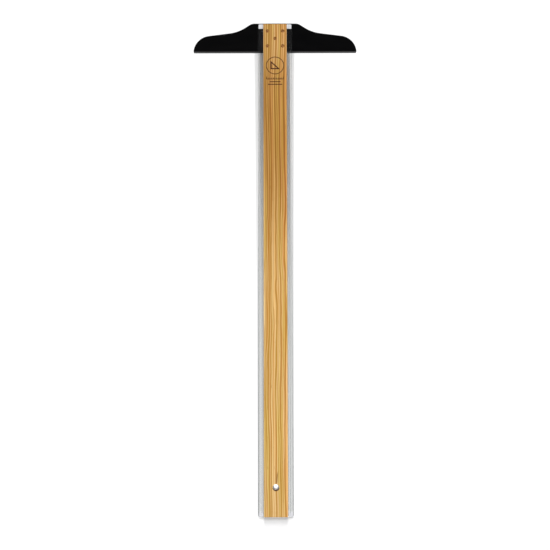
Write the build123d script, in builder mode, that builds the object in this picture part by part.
from build123d import *

import os

# Drawing T-square: a wooden blade with clear plastic ruling edges, screwed on top of a black
# plastic head.
#
# Frame: +X runs along the head's working face, +Y from the blade's tip to the head, +Z up.
# The origin is where the blade's centre line crosses the top edge of the working face, so
# z = 0 is the drawing board's surface: the underside of the blade and the top of the head.

os.makedirs("parts", exist_ok=True)

# ---------------------------------------------------------------- driving dimensions, mm
BLADE_REACH = 762.0  # from the working face to the tip, 30 inches
BLADE_LAP = 46.1  # the blade's length over the head
BLADE_WIDTH = 56.6  # over both clear edges
CORE_WIDTH = 38.8
CORE_THICKNESS = 3.6

HEAD_LENGTH = 272.8
HEAD_DEPTH = 48.4
HEAD_THICKNESS = 8.0
WING_TIP = (133.9, 24.3)  # the outline's corners on the right, x and y, before they are rounded
WING_WAIST = (61.7, 33.5)
WING_SHOULDER = (38.7, HEAD_DEPTH)
WING_RADII = [29, 63, 15]  # of those three corners

STRIP_GAP = 0.8  # the clear edges ride this far above the paper, so that ink can't creep under
STRIP_TOP = 3.1
STRIP_BEVEL = 5.0  # width of the bevel on top of each clear edge
STRIP_EDGE_TOP = 1.9  # height of the ruling edge's upper line

HANG_HOLE_DIAMETER = 9.6
HANG_HOLE_FROM_TIP = 47.0

SCREW_PITCH = 25.6  # the four corner screws stand on a square of this side, around a middle one
SCREW_SQUARE_Y = 21.2
SCREW_LENGTH = 9.4
SCREW_HEAD_DIAMETER = 5.8
SCREW_RECESS = 0.6  # the heads sit this far below the wood

# ---------------------------------------------------------------- worked out or minor sizes
core_half = CORE_WIDTH / 2
blade_half = BLADE_WIDTH / 2
blade_length = BLADE_REACH + BLADE_LAP
head_half = HEAD_LENGTH / 2

core_edge_radius = 0.35
hang_hole_chamfer = 0.3
groove_depth = 4.0
groove_low, groove_high = 1.3, 2.5
tongue_end_gap = 0.2  # room for glue at the bottom of the groove

strip_corner_radius = 2.4  # the outer corners at the tip
strip_edge_radius = 0.2

pad_width, pad_length, pad_corner = 7.6, 7.2, 1.0
pad_side_gap = 0.3
pad_end_gap = 0.2

head_corner_radius = 1.0
head_top_radius = 0.9
head_under_radius = 0.5

screw_head_radius = SCREW_HEAD_DIAMETER / 2
screw_rim = 0.25
screw_cone_angle = 90
shank_radius = 1.3
thread_radius = 1.45
thread_root_radius = 1.05
thread_pitch = 1.0
thread_turns = 4
plain_shank = 0.6  # the shank's bare length below the blade
slot_width, slot_depth = 0.75, 0.8
screw_top = CORE_THICKNESS - SCREW_RECESS
seat_clearance = 0.02
shank_hole_radius = 1.5

screw_half = SCREW_PITCH / 2
# x, y and the angle that each screw's slot stopped at
SCREWS = [
    (-screw_half, SCREW_SQUARE_Y + screw_half, 38),
    (screw_half, SCREW_SQUARE_Y + screw_half, 8),
    (0, SCREW_SQUARE_Y, 57),
    (-screw_half, SCREW_SQUARE_Y - screw_half, 31),
    (screw_half, SCREW_SQUARE_Y - screw_half, 2),
]


def write(part, name):
    """Labels a finished piece and writes its STEP file."""
    part.label = name
    export_step(part, f"parts/{name}.step")


# ---------------------------------------------------------------- screws
# One countersunk slotted screw, its top at z = 0. The thread is drawn as rings.
with BuildPart() as screw:
    with BuildSketch(Plane.XZ) as screw_profile:
        cone_foot = screw_rim + screw_head_radius - shank_radius
        thread_top = screw_top + plain_shank
        rings = []
        for turn in range(thread_turns):
            top_of_turn = thread_top + turn * thread_pitch
            rings += [
                (thread_root_radius, -top_of_turn),
                (thread_radius, -top_of_turn - thread_pitch / 2),
            ]
        with BuildLine():
            Polyline(
                (0, 0),
                (screw_head_radius, 0),
                (screw_head_radius, -screw_rim),
                (shank_radius, -cone_foot),
                (shank_radius, -thread_top),
                *rings,
                (thread_root_radius, -thread_top - thread_turns * thread_pitch),
                (0, -SCREW_LENGTH),
                close=True,
            )
        make_face()
    revolve(axis=Axis.Z)
    with BuildSketch(Plane.XY) as slot:
        Rectangle(2 * SCREW_HEAD_DIAMETER, slot_width)
    extrude(amount=-slot_depth, mode=Mode.SUBTRACT)

with BuildPart() as head_screws:
    for x, y, angle in SCREWS:
        with Locations(Location((x, y, screw_top), (0, 0, angle))):
            add(screw.part)
write(head_screws.part, "head_screws")

# ---------------------------------------------------------------- head
# A flat plate with a straight working face and ogee wings; the screws cut their own threads in it.
with BuildPart() as head:
    with BuildSketch(Plane.XY.offset(-HEAD_THICKNESS)) as head_outline:
        right_wing = [(head_half, 0), WING_TIP, WING_WAIST, WING_SHOULDER]
        left_wing = [(-x, y) for x, y in reversed(right_wing)]
        with BuildLine():
            wings = FilletPolyline(
                *right_wing,
                *left_wing,
                radius=WING_RADII + WING_RADII[::-1],
            )
            Line(wings @ 1, wings @ 0)
        make_face()
    extrude(amount=HEAD_THICKNESS)
    fillet(head.edges().filter_by(Axis.Z).group_by(Axis.Y)[0], head_corner_radius)
    fillet(head.faces().sort_by(Axis.Z)[-1].edges(), head_top_radius)
    fillet(head.faces().sort_by(Axis.Z)[0].edges(), head_under_radius)
    add(head_screws.part, mode=Mode.SUBTRACT)
write(head.part, "head")

# ---------------------------------------------------------------- blade core
# The wooden blade: eased long edges, a groove in each side, five screw seats and the hanging hole.
with BuildPart() as blade_core:
    with BuildSketch(Plane.XZ.offset(BLADE_REACH)) as core_section:
        with Locations((0, CORE_THICKNESS / 2)):
            Rectangle(CORE_WIDTH, CORE_THICKNESS)
        fillet(core_section.vertices(), core_edge_radius)
        groove_middle = (groove_low + groove_high) / 2
        with Locations((-core_half, groove_middle), (core_half, groove_middle)):
            Rectangle(2 * groove_depth, groove_high - groove_low, mode=Mode.SUBTRACT)
    extrude(amount=-blade_length)
    with Locations([(x, y, screw_top - screw_rim) for x, y, angle in SCREWS]):
        CounterSinkHole(
            shank_hole_radius,
            screw_head_radius + seat_clearance,
            counter_sink_angle=screw_cone_angle,
        )
    with Locations((0, HANG_HOLE_FROM_TIP - BLADE_REACH, CORE_THICKNESS)):
        Hole(HANG_HOLE_DIAMETER / 2)
    hang_hole_rims = blade_core.edges().filter_by(GeomType.CIRCLE).group_by(Axis.Y)[0]
    chamfer(hang_hole_rims, hang_hole_chamfer)
write(blade_core.part, "blade_core")

# ---------------------------------------------------------------- clear edge strips
for side, sign in (("left", -1), ("right", 1)):
    with BuildPart() as edge_strip:
        with BuildSketch(Plane.XZ.offset(BLADE_REACH)) as strip_section:
            tongue_end = core_half - groove_depth + tongue_end_gap
            with BuildLine():
                Polyline(
                    (sign * tongue_end, groove_low),
                    (sign * tongue_end, groove_high),
                    (sign * core_half, groove_high),
                    (sign * core_half, STRIP_TOP),
                    (sign * (blade_half - STRIP_BEVEL), STRIP_TOP),
                    (sign * blade_half, STRIP_EDGE_TOP),
                    (sign * blade_half, STRIP_GAP),
                    (sign * core_half, STRIP_GAP),
                    (sign * core_half, groove_low),
                    close=True,
                )
            make_face()
        extrude(amount=-blade_length)
        outer = -1 if sign > 0 else 0
        tip_corners = edge_strip.edges().filter_by(Axis.Z).group_by(Axis.Y)[0]
        fillet(tip_corners.sort_by(Axis.X)[outer], strip_corner_radius)
        ruling_face = edge_strip.faces().sort_by(Axis.X)[outer]
        fillet(ruling_face.edges().filter_by(Axis.Y), strip_edge_radius)
    write(edge_strip.part, f"edge_strip_{side}")

# ---------------------------------------------------------------- pads
# Four thin pads fill the gap under the ends of the clear edges.
pad_x = core_half + pad_side_gap + pad_width / 2
pad_ends = {
    "head": BLADE_LAP - pad_end_gap - pad_length / 2,
    "tip": -BLADE_REACH + pad_end_gap + pad_length / 2,
}
for end, pad_y in pad_ends.items():
    for side, sign in (("left", -1), ("right", 1)):
        with BuildPart() as strip_pad:
            with BuildSketch(Plane.XY):
                with Locations((sign * pad_x, pad_y)):
                    RectangleRounded(pad_width, pad_length, pad_corner)
            extrude(amount=STRIP_GAP)
        write(strip_pad.part, f"strip_pad_{end}_{side}")
